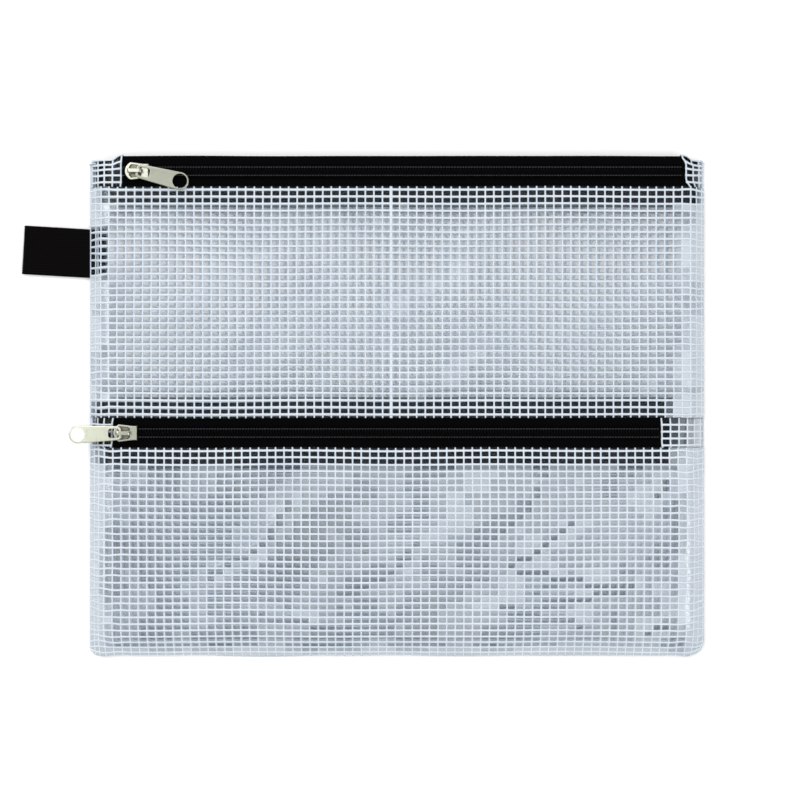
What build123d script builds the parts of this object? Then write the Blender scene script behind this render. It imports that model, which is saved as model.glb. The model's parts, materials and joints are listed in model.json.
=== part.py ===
from build123d import *
import math
import os

# Document wallet: a flat pouch of thread-reinforced film with a zip along its top edge and another across its front.
# It lies on its back: X runs along the zips, Y towards the top edge, Z up. The origin is the middle of the back panel.

# Body
body_width = 278.0
body_height = 225.4
sheet = 0.5
seam_allowance = 7.5
edge_run = 6.5
bottom_run = 13.0
main_pocket_depth = 4.6
front_pocket_depth = 4.7
bulge_run = 14.0
back_turn_up = 4.0

# Divider behind the middle zip
divider_fold_gap = 1.0
divider_edge_inset = 0.2
divider_side_angle = 42.0
divider_lift_start = 7.0
divider_lift_run = 4.0

# Zips
top_zip_inset = 7.0
mid_zip_height = 100.8
zip_show = 6.8
hem_width = 9.0
tape_thickness = 0.6
tape_half = 16.0
tape_gap = 1.6
tape_tail = 2.4
top_window_left = 15.2
top_window_right = 9.4
mid_window_left = 11.2
mid_window_right = 20.2

# Coils and the cords inside them
coil_height = 1.9
coil_half = 2.45
coil_inner = 1.0
coil_pitch = 1.6
tooth_width = 0.7
tooth_reach = 0.55
cord_diameter = 0.9

# Sliders
slider_length = 10.6
slider_plate = 0.9
slider_roof = 1.0
slider_flange = 0.55
slider_flare = 0.75
slider_nose = 2.6
slider_rear_flat = 2.2
slider_rear_round = 0.6
slider_edge_round = 0.3
top_slider_parking = 1.7
mid_slider_parking = 0.5
post_inset = 0.9
post_length = 3.4
post_half = 1.2
post_widest_share = 0.4
bail_inset = 1.2
bail_length = 6.8
bail_width = 1.5
bail_bar = 0.9
bail_foot = 1.0
bail_round = 1.2

# Pulls
pull_length = 24.0
pull_thickness = 1.1
pull_eye_end = 6.2
pull_hole_end = 8.0
pull_hole = 6.6
pull_eye_length = 5.0
pull_eye_width = 4.2
pull_eye_round = 1.2
pull_shoulder_round = 2.0
pull_edge_round = 0.25
pull_panel_depth = 0.2
pull_panel_border = 1.0
pull_axis_height = 1.0
pull_axis_shift = 1.2
pull_tilt = 3.4
top_pull_turn = -13.5
mid_pull_turn = 182.0

# Side label
label_length = 30.5
label_width = 22.0
label_thickness = 0.6
label_turn = 3.3
label_below_top = 43.4
label_sewn_length = 7.0
label_hinge_gap = 0.6
label_side_gap = 0.3

# Clearances
slide_clearance = 0.2
tape_clearance = 0.15
slider_gap = 0.35
cord_clearance = 0.05
coil_end_gap = 0.3
edge_clearance = 0.3
overrun = 2.0

# Half sizes and heights that follow from the sizes above
half_width = body_width / 2
half_height = body_height / 2
back_top = sheet
back_hem_top = back_top + sheet
seam_base = back_hem_top + sheet
seam_top = seam_base + sheet
divider_low = back_top + main_pocket_depth
divider_top = divider_low + sheet
slider_low = divider_top + slider_gap
tape_low = slider_low + slider_plate + tape_clearance
tape_top = tape_low + tape_thickness
panel_low = tape_top + sheet
panel_top = panel_low + sheet
bulge_top = divider_top + front_pocket_depth + sheet
coil_top = tape_top + coil_height
roof_low = coil_top + slide_clearance
roof_top = roof_low + slider_roof
side_slope = (panel_top - seam_top) / edge_run
slope_shift = sheet * math.hypot(1, side_slope) / side_slope

# Places across the wallet
top_zip_y = half_height - top_zip_inset
mid_zip_y = mid_zip_height - half_height
top_hem_y = top_zip_y - zip_show
mid_upper_hem_y = mid_zip_y + zip_show
mid_lower_hem_y = mid_zip_y - zip_show
tape_end = half_width - seam_allowance - edge_clearance
divider_end_y = mid_upper_hem_y + hem_width
label_y = half_height - label_below_top
label_hinge_x = -half_width - label_hinge_gap
label_hinge_z = back_hem_top + sheet / 2

os.makedirs("parts", exist_ok=True)


def save(piece, name):
    """Label a finished piece and write it."""
    piece.label = name
    export_step(piece, "parts/" + name + ".step")


def across(y):
    """The XZ plane at a height up the wallet; extruding from it runs towards the bottom edge."""
    return Plane.XZ.offset(-y)


def front_section(top):
    """The front's outline across the wallet: low at both sides, full height between."""
    shoulder = half_width - (top - seam_top) / side_slope
    return [
        (-half_width, seam_base),
        (-half_width, seam_top),
        (-shoulder, top),
        (shoulder, top),
        (half_width, seam_top),
        (half_width, seam_base),
    ]


def slab(x_low, x_high, y_low, y_high, z_low, z_high):
    """A flat strip of sheet between the given corners."""
    with Locations(((x_low + x_high) / 2, (y_low + y_high) / 2, (z_low + z_high) / 2)):
        Box(x_high - x_low, y_high - y_low, z_high - z_low)


# Back panel: the flat sheet that the wallet lies on
with BuildPart() as back_panel:
    slab(-half_width, half_width, -half_height, half_height, 0, back_top)
save(back_panel.part, "back_panel")


# Back panel's turned edges: its side and bottom edges folded in flat, and its top edge folded up
with BuildPart() as back_turned_edges:
    for side in (-1, 1):
        edges = sorted((side * half_width, side * (half_width - seam_allowance)))
        slab(*edges, -half_height, half_height, back_top, back_hem_top)
    slab(-half_width, half_width, -half_height, -half_height + seam_allowance, back_top, back_hem_top)
save(back_turned_edges.part, "back_turned_edges")
with BuildPart() as back_top_turn_up:
    slab(-tape_end, tape_end, half_height - sheet, half_height, back_top, back_turn_up)
save(back_top_turn_up.part, "back_top_turn_up")


# Front upper panel: between the two zips, with a turned hem at each and the side seams turned in
upper_length = top_hem_y - mid_upper_hem_y
with BuildPart() as front_upper_panel:
    with BuildSketch(across(top_hem_y)):
        with BuildLine():
            Polyline(*front_section(panel_top), close=True)
        make_face()
    extrude(amount=upper_length)
    open_ends = front_upper_panel.faces().filter_by(Axis.Y)
    underside = front_upper_panel.faces().sort_by(Axis.Z)[0]
    offset(amount=-sheet, openings=[*open_ends, underside], kind=Kind.INTERSECTION)
    for side in (-1, 1):
        edges = sorted((side * half_width, side * (half_width - seam_allowance)))
        slab(*edges, mid_upper_hem_y, top_hem_y, seam_base, seam_top)
        slab(*edges, divider_end_y + edge_clearance, top_hem_y, back_hem_top, seam_base)
    slab(-tape_end, tape_end, mid_upper_hem_y, mid_upper_hem_y + hem_width, tape_top, panel_low)
    slab(-tape_end, tape_end, top_hem_y - hem_width, top_hem_y, tape_top, panel_low)
    with Locations((-half_width, label_y, (back_hem_top + seam_base) / 2)):
        Box(
            2 * (label_sewn_length + edge_clearance),
            label_width + 2 * label_side_gap,
            seam_base - back_hem_top,
            mode=Mode.SUBTRACT,
        )
save(front_upper_panel.part, "front_upper_panel")


# Front lower panel: swells out below the middle zip and comes down to the bottom seam
bulge_start_y = mid_lower_hem_y - hem_width - bulge_run
with BuildPart() as front_lower_panel:
    with BuildSketch(across(mid_lower_hem_y)):
        with BuildLine():
            Polyline(*front_section(bulge_top), close=True)
        make_face()
    extrude(amount=mid_lower_hem_y + half_height)
    with BuildSketch(Plane.YZ):
        with BuildLine():
            Polyline(
                (mid_lower_hem_y, seam_base),
                (mid_lower_hem_y, panel_top),
                (mid_lower_hem_y - hem_width, panel_top),
                (bulge_start_y, bulge_top),
                (bottom_run - half_height, bulge_top),
                (-half_height, seam_top),
                (-half_height, seam_base),
                close=True,
            )
        make_face()
    extrude(amount=half_width + overrun, both=True, mode=Mode.INTERSECT)
    mouth = front_lower_panel.faces().sort_by(Axis.Y)[-1]
    underside = front_lower_panel.faces().sort_by(Axis.Z)[0]
    offset(amount=-sheet, openings=[mouth, underside], kind=Kind.INTERSECTION)
    for side in (-1, 1):
        edges = sorted((side * half_width, side * (half_width - seam_allowance)))
        slab(*edges, -half_height, mid_lower_hem_y, seam_base, seam_top)
    slab(-half_width, half_width, -half_height, -half_height + seam_allowance, seam_base, seam_top)
    slab(-tape_end, tape_end, mid_lower_hem_y - hem_width, mid_lower_hem_y, tape_top, panel_low)
save(front_lower_panel.part, "front_lower_panel")


# Divider: a sheet behind the front pocket, its edges held in the seams, and a strip that joins it to the middle zip
divider_half = half_width - seam_allowance - divider_fold_gap
divider_foot_y = -half_height + seam_allowance + divider_fold_gap
divider_slope = math.tan(math.radians(divider_side_angle))
divider_shoulder = divider_half - (tape_low - back_hem_top) / divider_slope
divider_lift_y = mid_zip_y + divider_lift_start
with BuildPart() as divider_sheet:
    with BuildSketch(across(divider_end_y)):
        with BuildLine():
            Polyline(
                (-divider_half, back_hem_top),
                (-divider_shoulder, tape_low),
                (divider_shoulder, tape_low),
                (divider_half, back_hem_top),
                close=True,
            )
        make_face()
    extrude(amount=divider_end_y - divider_foot_y)
    with BuildSketch(Plane.YZ):
        with BuildLine():
            Polyline(
                (divider_end_y, back_hem_top),
                (divider_end_y, tape_low),
                (divider_lift_y + divider_lift_run, tape_low),
                (divider_lift_y, divider_top),
                (divider_foot_y + (divider_top - back_hem_top) / divider_slope, divider_top),
                (divider_foot_y, back_hem_top),
                close=True,
            )
        make_face()
    extrude(amount=half_width, both=True, mode=Mode.INTERSECT)
    mouth = divider_sheet.faces().sort_by(Axis.Y)[-1]
    underside = divider_sheet.faces().sort_by(Axis.Z)[0]
    offset(amount=-sheet, openings=[mouth, underside], kind=Kind.INTERSECTION)
    rim_x = half_width - divider_edge_inset
    rim_y = half_height - divider_edge_inset
    for side in (-1, 1):
        edges = sorted((side * rim_x, side * (divider_half - sheet)))
        slab(*edges, -rim_y, divider_end_y, back_hem_top, seam_base)
    slab(-rim_x, rim_x, -rim_y, divider_foot_y + sheet, back_hem_top, seam_base)
with BuildPart() as divider_panel:
    add(divider_sheet.part)
    split(bisect_by=across(divider_lift_y), keep=Keep.TOP)
save(divider_panel.part, "divider_panel")
with BuildPart() as divider_top_strip:
    add(divider_sheet.part)
    split(bisect_by=across(divider_lift_y), keep=Keep.BOTTOM)
save(divider_top_strip.part, "divider_top_strip")


def flat_tape(name, y_low, y_high):
    """A flat half of a zip's woven tape."""
    with BuildPart() as tape:
        slab(-tape_end, tape_end, y_low, y_high, tape_low, tape_top)
    save(tape.part, name)


# Zip tapes: three lie flat, and the top zip's upper tape is bent down inside the back panel's top edge
flat_tape("top_zip_lower_tape", top_zip_y - tape_half, top_zip_y - tape_gap)
flat_tape("mid_zip_upper_tape", mid_zip_y + tape_gap, mid_zip_y + tape_half)
flat_tape("mid_zip_lower_tape", mid_zip_y - tape_half, mid_zip_y - tape_gap)
wall_y = half_height - sheet
with BuildPart() as top_zip_upper_tape:
    with BuildSketch(Plane.YZ.offset(-tape_end)):
        with BuildLine():
            Polyline(
                (top_zip_y + tape_gap, tape_low),
                (top_zip_y + tape_gap, tape_top),
                (wall_y, tape_top),
                (wall_y, back_top),
                (wall_y - tape_tail, back_top),
                (wall_y - tape_tail, back_top + tape_thickness),
                (wall_y - tape_thickness, back_top + tape_thickness),
                (wall_y - tape_thickness, tape_low),
                close=True,
            )
        make_face()
    extrude(amount=2 * tape_end)
save(top_zip_upper_tape.part, "top_zip_upper_tape")


def end_tab(name, side, window_inset, y_low, y_high, base, closed_end):
    """A short piece of sheet over one end of a zip, coming down to the side seam."""
    tab_top = tape_top + sheet
    shoulder = half_width - (tab_top - seam_top) / side_slope
    outside = [(half_width, base), (half_width, seam_top), (shoulder, tab_top)]
    window = half_width - window_inset
    inside = [
        (window, tab_top),
        (window, tape_top),
        (half_width - slope_shift - (tape_top - seam_top) / side_slope, tape_top),
        (half_width - slope_shift - (base + sheet - seam_top) / side_slope, base + sheet),
        (half_width - seam_allowance, base + sheet),
        (half_width - seam_allowance, base),
    ]
    corner = tape_end + edge_clearance
    with BuildPart() as tab:
        with BuildSketch(across(y_high)):
            with BuildLine():
                Polyline(*[(side * x, z) for x, z in outside + inside], close=True)
            make_face()
        extrude(amount=y_high - y_low)
        if closed_end:
            with BuildSketch(across(y_high)):
                with BuildLine():
                    end_wall = outside + [(corner, tab_top), (corner, base)]
                    Polyline(*[(side * x, z) for x, z in end_wall], close=True)
                make_face()
            extrude(amount=sheet)
    save(tab.part, name)


# End tabs: one over each end of each zip
end_tab("top_zip_left_tab", -1, top_window_left, top_hem_y, half_height, back_hem_top, True)
end_tab("top_zip_right_tab", 1, top_window_right, top_hem_y, half_height, back_hem_top, True)
end_tab("mid_zip_left_tab", -1, mid_window_left, mid_lower_hem_y, mid_upper_hem_y, seam_base, False)
end_tab("mid_zip_right_tab", 1, mid_window_right, mid_lower_hem_y, mid_upper_hem_y, seam_base, False)


def coil_and_cord(zip_name, half_name, zip_y, direction, x_start, x_end):
    """One half of a zip's coil, a toothed strip on the tape's edge, and the cord that runs inside it."""
    length = x_end - x_start
    outer_y = zip_y + direction * coil_half
    inner_y = zip_y + direction * coil_inner
    head_y = zip_y - direction * tooth_reach
    spine_y = (outer_y + inner_y) / 2
    cord_z = tape_top + coil_height / 2
    count = int((length - coil_pitch) / coil_pitch)
    first_x = (x_start + x_end - (count - 1) * coil_pitch + direction * coil_pitch / 2) / 2
    comb = [(x_start, outer_y), (x_start, inner_y)]
    for tooth in range(count):
        left_x = first_x + tooth * coil_pitch - tooth_width / 2
        right_x = left_x + tooth_width
        comb += [(left_x, inner_y), (left_x, head_y), (right_x, head_y), (right_x, inner_y)]
    comb += [(x_end, inner_y), (x_end, outer_y)]
    with BuildPart() as coil:
        with BuildSketch(Plane.XY.offset(tape_top)):
            with BuildLine():
                Polyline(*comb, close=True)
            make_face()
        extrude(amount=coil_height)
        with BuildSketch(Plane.YZ.offset(x_start)):
            with Locations((spine_y, cord_z)):
                Circle(cord_diameter / 2 + cord_clearance)
        extrude(amount=length, mode=Mode.SUBTRACT)
    save(coil.part, zip_name + "_" + half_name + "_coil")
    with BuildPart() as cord:
        with BuildSketch(Plane.YZ.offset(x_start)):
            with Locations((spine_y, cord_z)):
                Circle(cord_diameter / 2)
        extrude(amount=length)
    save(cord.part, zip_name + "_" + half_name + "_cord")


slider_rear_half = coil_half + slide_clearance + slider_flange
slider_front_half = slider_rear_half + slider_flare


def slider_outline(height, tip_x, zip_y):
    """A shield at the given height: round at the nose, tapering to a flat rear end."""
    shoulder_x = tip_x + slider_nose
    rear_x = tip_x + slider_length
    waist_x = rear_x - slider_rear_flat
    with BuildSketch(Plane.XY.offset(height)) as outline:
        with BuildLine():
            ThreePointArc(
                (shoulder_x, zip_y + slider_front_half),
                (tip_x, zip_y),
                (shoulder_x, zip_y - slider_front_half),
            )
            Polyline(
                (shoulder_x, zip_y - slider_front_half),
                (waist_x, zip_y - slider_rear_half),
                (rear_x, zip_y - slider_rear_half),
                (rear_x, zip_y + slider_rear_half),
                (waist_x, zip_y + slider_rear_half),
                (shoulder_x, zip_y + slider_front_half),
            )
        make_face()
    return outline.sketch


def slider(name, tip_x, zip_y):
    """Two plates joined by a diamond post, side flanges that guide the coils, and a bail on top."""
    rear_x = tip_x + slider_length
    post_x = tip_x + post_inset
    flange_low = tape_top + tape_clearance
    channel_front = slider_front_half - slider_flange
    channel_rear = slider_rear_half - slider_flange
    bail_middle = tip_x + bail_inset + bail_length / 2
    bar_reach = math.hypot(pull_thickness, pull_thickness) / 2
    bail_inner = pull_axis_height + bar_reach + slide_clearance
    bail_height = bail_inner + bail_bar
    with BuildPart() as body:
        extrude(slider_outline(slider_low, tip_x, zip_y), amount=slider_plate)
        extrude(slider_outline(roof_low, tip_x, zip_y), amount=slider_roof)
        rear_corners = body.edges().filter_by(Axis.Z).group_by(Axis.X)[-1]
        fillet(rear_corners, radius=slider_rear_round)
        fillet(body.faces().sort_by(Axis.Z)[-1].edges(), radius=slider_edge_round)
        extrude(slider_outline(flange_low, tip_x, zip_y), amount=roof_low - flange_low)
        with BuildSketch(Plane.XY.offset(flange_low)):
            with BuildLine():
                Polyline(
                    (tip_x - overrun, zip_y - channel_front),
                    (tip_x + slider_nose, zip_y - channel_front),
                    (rear_x - slider_rear_flat, zip_y - channel_rear),
                    (rear_x + overrun, zip_y - channel_rear),
                    (rear_x + overrun, zip_y + channel_rear),
                    (rear_x - slider_rear_flat, zip_y + channel_rear),
                    (tip_x + slider_nose, zip_y + channel_front),
                    (tip_x - overrun, zip_y + channel_front),
                    close=True,
                )
            make_face()
        extrude(amount=roof_low - flange_low, mode=Mode.SUBTRACT)
        with BuildSketch(Plane.XY.offset(slider_low)):
            with BuildLine():
                Polyline(
                    (post_x, zip_y),
                    (post_x + post_widest_share * post_length, zip_y - post_half),
                    (post_x + post_length, zip_y),
                    (post_x + post_widest_share * post_length, zip_y + post_half),
                    close=True,
                )
            make_face()
        extrude(amount=roof_top - slider_low)
        with BuildSketch(across(zip_y + bail_width / 2)):
            with Locations((bail_middle, roof_top + bail_height / 2)):
                Rectangle(bail_length, bail_height)
            fillet(vertices().group_by(Axis.Y)[-1], radius=bail_round)
            with Locations((bail_middle, roof_top + bail_inner / 2)):
                Rectangle(bail_length - 2 * bail_foot, bail_inner, mode=Mode.SUBTRACT)
        extrude(amount=bail_width)
    save(body.part, name)
    return bail_middle


def pull(name, axis_x, zip_y, turn):
    """A flat pull with an eye round the bail and a round hole at its free end."""
    turn_rad = math.radians(turn)
    tilt_rad = math.radians(pull_tilt)
    along = Vector(
        math.cos(turn_rad) * math.cos(tilt_rad),
        math.sin(turn_rad) * math.cos(tilt_rad),
        -math.sin(tilt_rad),
    )
    upright = Vector(
        math.cos(turn_rad) * math.sin(tilt_rad),
        math.sin(turn_rad) * math.sin(tilt_rad),
        math.cos(tilt_rad),
    )
    axis_point = Vector(axis_x, zip_y, roof_top + pull_axis_height)
    middle = Plane(origin=axis_point, x_dir=along, z_dir=upright)
    bar = pull_thickness / 2
    hole_x = pull_length - bar - pull_hole_end / 2
    eye_x = bar + pull_eye_length / 2
    panel_start = bar + pull_eye_length + pull_panel_border
    panel_end = hole_x - pull_hole / 2 - pull_panel_border
    with BuildPart() as tab:
        with BuildSketch(middle.offset(-bar)):
            with BuildLine():
                Polyline(
                    (-bar, -pull_eye_end / 2),
                    (hole_x, -pull_hole_end / 2),
                    (hole_x, pull_hole_end / 2),
                    (-bar, pull_eye_end / 2),
                    close=True,
                )
            make_face()
            fillet(vertices().group_by(Axis.X)[0], radius=pull_shoulder_round)
            with Locations((hole_x, 0)):
                Circle(pull_hole_end / 2)
                Circle(pull_hole / 2, mode=Mode.SUBTRACT)
            with Locations((eye_x, 0)):
                RectangleRounded(pull_eye_length, pull_eye_width, pull_eye_round, mode=Mode.SUBTRACT)
        extrude(amount=pull_thickness)
        rims = tab.faces().sort_by(Axis.Z)[-1].edges() + tab.faces().sort_by(Axis.Z)[0].edges()
        fillet(rims, radius=pull_edge_round)
        with BuildSketch(middle.offset(bar - pull_panel_depth)):
            with Locations(((panel_start + panel_end) / 2, 0)):
                RectangleRounded(panel_end - panel_start, pull_eye_width, pull_eye_round)
        extrude(amount=pull_panel_depth + overrun, mode=Mode.SUBTRACT)
    save(tab.part, name)
    hole = middle.from_local_coords(Vector(hole_x, 0, 0))
    print(name, "axis", tuple(axis_point), "hole", tuple(hole), "normal", tuple(upright))


def zip_works(zip_name, zip_y, window_left, window_right, parking, pull_side, turn):
    """The coils, cords, slider and pull of one zip, with the slider at its closed left end."""
    tip_x = window_left - half_width + parking
    window_end = half_width - window_right
    coil_start = tip_x + post_inset + post_length + coil_end_gap
    coil_end = window_end - coil_end_gap
    coil_and_cord(zip_name, "upper", zip_y, 1, coil_start, coil_end)
    coil_and_cord(zip_name, "lower", zip_y, -1, coil_start, coil_end)
    bail_middle = slider(zip_name + "_slider", tip_x, zip_y)
    pull(zip_name + "_pull", bail_middle + pull_side * pull_axis_shift, zip_y, turn)
    travel = window_end - coil_end_gap - tip_x - slider_length
    print(zip_name, "slider travel", travel)


# Coils, cords, sliders and pulls of both zips
zip_works("top_zip", top_zip_y, top_window_left, top_window_right, top_slider_parking, 1, top_pull_turn)
zip_works("mid_zip", mid_zip_y, mid_window_left, mid_window_right, mid_slider_parking, -1, mid_pull_turn)


# Side label: the end held in the left seam, and the flag that turns about the seam's edge
with BuildPart() as label_sewn_end:
    slab(
        -half_width,
        -half_width + label_sewn_length,
        label_y - label_width / 2,
        label_y + label_width / 2,
        back_hem_top,
        seam_base,
    )
save(label_sewn_end.part, "label_sewn_end")

turn_cos = math.cos(math.radians(label_turn))
turn_sin = math.sin(math.radians(label_turn))
flag_reach = label_length - label_hinge_gap
far_x = label_hinge_x - flag_reach * turn_cos
far_y = label_y + flag_reach * turn_sin
root_half = label_width / 2 / turn_cos
flag_side_x = label_width / 2 * turn_sin
flag_side_y = label_width / 2 * turn_cos
with BuildPart() as label_flag:
    with BuildSketch(Plane.XY.offset(label_hinge_z - label_thickness / 2)):
        with BuildLine():
            Polyline(
                (label_hinge_x, label_y + root_half),
                (far_x + flag_side_x, far_y + flag_side_y),
                (far_x - flag_side_x, far_y - flag_side_y),
                (label_hinge_x, label_y - root_half),
                close=True,
            )
        make_face()
    extrude(amount=label_thickness)
    with BuildSketch(across(label_y + root_half)):
        with Locations((label_hinge_x, label_hinge_z)):
            Circle(label_thickness / 2)
    extrude(amount=2 * root_half)
save(label_flag.part, "label_flag")
print("label hinge", label_hinge_x, label_y, label_hinge_z)
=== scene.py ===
# %% [markdown]
# # A zipped document wallet
# The real object is a flat pouch of clear PVC film with a grid of white threads laid into it. One zip
# closes its top edge, a second opens a pocket on its front, and a woven label is sewn into its left
# seam. This lesson dresses the imported solid model: each piece made here sits where that fixed frame says,
# and all but the label move with one of its bodies. Lengths are in millimetres until a mesh is made.

# %% load the frame
import json
import math
import bmesh
import bpy
import numpy as np
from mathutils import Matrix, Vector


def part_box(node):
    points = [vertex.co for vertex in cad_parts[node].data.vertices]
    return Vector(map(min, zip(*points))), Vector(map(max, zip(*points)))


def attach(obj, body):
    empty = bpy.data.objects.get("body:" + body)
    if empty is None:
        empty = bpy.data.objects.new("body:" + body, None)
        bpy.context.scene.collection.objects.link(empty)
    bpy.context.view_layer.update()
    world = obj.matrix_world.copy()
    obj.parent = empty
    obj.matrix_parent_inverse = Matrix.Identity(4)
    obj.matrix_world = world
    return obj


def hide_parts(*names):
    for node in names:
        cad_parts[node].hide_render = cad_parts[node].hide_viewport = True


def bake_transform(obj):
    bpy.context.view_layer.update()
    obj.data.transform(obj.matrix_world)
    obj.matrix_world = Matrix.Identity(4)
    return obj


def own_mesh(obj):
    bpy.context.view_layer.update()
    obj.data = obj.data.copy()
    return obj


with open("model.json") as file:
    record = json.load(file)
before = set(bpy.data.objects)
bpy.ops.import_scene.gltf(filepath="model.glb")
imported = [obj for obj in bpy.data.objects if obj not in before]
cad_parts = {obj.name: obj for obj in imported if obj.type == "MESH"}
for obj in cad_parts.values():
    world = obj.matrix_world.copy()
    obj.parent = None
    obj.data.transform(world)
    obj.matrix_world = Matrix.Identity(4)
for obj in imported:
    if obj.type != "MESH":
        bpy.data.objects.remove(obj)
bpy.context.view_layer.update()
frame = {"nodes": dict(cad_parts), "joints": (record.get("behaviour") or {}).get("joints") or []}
MM = 0.001


def add_object(name, data):
    """An object of the scene that shows the data."""
    made = bpy.data.objects.new(name, data)
    bpy.context.scene.collection.objects.link(made)
    return made


# %% [markdown]
# The frame knows where everything is, so shared measures are read from its nodes instead of typed again.


# %% read the measures
def span(node):
    """The lowest and highest corner of a frame node, in millimetres."""
    low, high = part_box(node)
    return np.array(low) / MM, np.array(high) / MM


half_width, half_height = span("back_panel")[1][:2]
bottom = -half_height
(_, mid_upper_hem, _), (_, top_hem, _) = span("front_upper_panel")
mid_lower_hem = span("front_lower_panel")[1][1]
(_, _, tape_low), (tape_end, _, tape_top) = span("mid_zip_lower_tape")
zip_line = {}
for zip_name in ("top_zip", "mid_zip"):
    zip_line[zip_name] = float(sum(corner[1] for corner in span(zip_name + "_slider")) / 2)
sewn_low, sewn_high = span("label_sewn_end")
label_y, label_half = (sewn_low[1] + sewn_high[1]) / 2, (sewn_high[1] - sewn_low[1]) / 2
print(f"outline {2 * half_width:.1f} x {2 * half_height:.1f} mm, zips at", zip_line)

# %% [markdown]
# The photograph looks straight down. A long lens from well above keeps the outline square, and one of
# the picture's 800 pixels covers 0.45 mm. A look through the closed wallet passes more skins of film
# than the 8 that Blender follows by default and would end in black, so that count is raised.

# %% camera
pixel, half_picture = 0.45, 400
# The wallet's middle in the picture, in pixels from the top left, and its front's height above the table
photo_x, photo_y, front_height = 397, 406.5, 8
lens, sensor = 85.0, 36.0
distance = half_picture * pixel * lens / (sensor / 2)
camera_x, camera_y = (half_picture - photo_x) * pixel, (photo_y - half_picture) * pixel
camera_data = bpy.data.cameras.new("camera")
camera_data.lens, camera_data.sensor_width = lens, sensor
camera = add_object("camera", camera_data)
camera.location = (camera_x * MM, camera_y * MM, (distance + front_height) * MM)
bpy.context.scene.camera = camera
bpy.context.scene.view_settings.view_transform = "Standard"
bpy.context.scene.cycles.transparent_max_bounces = 24
print("camera", round(distance), "mm above the wallet")

# %% [markdown]
# ## Materials
# Every finish is a small node tree. One helper turns an sRGB hex colour into a shader's linear values,
# one adds a node and one builds a material. Patterns use object coordinates, the wallet's own metres, so
# a pattern's scale is one over its real size.

# %% colour and material helpers
noise, wave = "ShaderNodeTexNoise", "ShaderNodeTexWave"


def linear(colour):
    """An sRGB hex colour as linear red, green, blue and alpha."""
    parts = [int(colour[i : i + 2], 16) / 255 for i in (1, 3, 5)]
    return [p / 12.92 if p <= 0.04045 else ((p + 0.055) / 1.055) ** 2.4 for p in parts] + [1.0]


def add_node(material, kind, settings, links=None):
    """Add a node. Settings go to its inputs or its own options, links join outputs to its inputs."""
    node = material.node_tree.nodes.new(kind)
    for key, value in settings.items():
        if isinstance(key, int) or key in node.inputs:
            node.inputs[key].default_value = value
        else:
            setattr(node, key, value)
    for key, output in (links or {}).items():
        material.node_tree.links.new(output, node.inputs[key])
    return node


def make_material(name, finish, colours=None, tone=None, relief=None, strength=0.0, depth=0.0):
    """A finish, with a pattern that tints it between two colours and a pattern that raises it."""
    material = bpy.data.materials.new(name)
    material.use_nodes = True
    join, shader = material.node_tree.links.new, material.node_tree.nodes["Principled BSDF"]
    for key, value in finish.items():
        shader.inputs[key].default_value = value
    place_on = {}
    if tone or relief:
        place_on["Vector"] = add_node(material, "ShaderNodeTexCoord", {}).outputs["Object"]
    if tone:
        share = {0: add_node(material, *tone, place_on).outputs["Fac"]}
        ends = {"data_type": "RGBA", 6: linear(colours[0]), 7: linear(colours[1])}
        join(add_node(material, "ShaderNodeMix", ends, share).outputs[2], shader.inputs["Base Color"])
    if relief:
        height = {"Height": add_node(material, *relief, place_on).outputs["Fac"]}
        raised = {"Strength": strength, "Distance": depth}
        join(add_node(material, "ShaderNodeBump", raised, height).outputs["Normal"], shader.inputs["Normal"])
    return material, shader, place_on


print("mid grey #808080 is", round(linear("#808080")[0], 3), "in linear light")

# %% [markdown]
# ** Clear PVC film**: nearly colourless, a little grey-blue and glossy, with soft waves. A glass shader
# could make it. A plain alpha was chosen, because thin film hardly bends light. Soft PVC goes hazy where
# it is rubbed, creased or turned, so there are five grades, and each cell of a panel gets one. Some of
# the haze stands for glare and glints off the film: painted highlights.

# %% film
wave_size, haze_size = 7 * MM, 35 * MM
gloss = {"Roughness": 0.14, "IOR": 1.53, "Specular IOR Level": 1.0}
gloss.update({"Coat Weight": 1.0, "Coat Roughness": 0.08})
haze = (noise, {"Scale": 1 / haze_size, "Detail": 3.0})
waves = (noise, {"Scale": 1 / wave_size, "Detail": 2.0})
films = []
for name, opacity, *colours in (
    ("clear PVC film", 0.045, "#35434F", "#566675"),
    ("clear PVC film, faint haze", 0.09, "#8798A8", "#B4C4D3"),
    ("clear PVC film, haze", 0.16, "#C3D1DF", "#E6EFF8"),
    ("clear PVC film, creased", 0.3, "#D3E0ED", "#F1F7FD"),
    ("clear PVC film, turned seam", 0.52, "#DCE8F4", "#F6FAFE"),
):
    finish = {**gloss, "Alpha": opacity}
    films.append(make_material(name, finish, colours, haze, waves, strength=0.35, depth=0.4 * MM)[0])
print("film materials", [film.name for film in films])

# %% [markdown]
# **PVC-coated polyester thread**, the scrim in the film: bright cool white, smooth and slightly glossy,
# because the coating fills the yarn. Its twist of about 0.4 mm is drawn at 0.9 mm, so that it shows.
# ** Nylon monofilament** of the coils: black wire, with a satin gloss that picks out each turn. **Filler
# cord** and **sewing threads**: polyester yarn, duller and mottled. The black sewing thread is coloured
# grey, as painted sheen on black yarn. All are noise over a plain finish, so one loop makes the five.

# %% threads, coil and cord
yarns = {}
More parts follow.
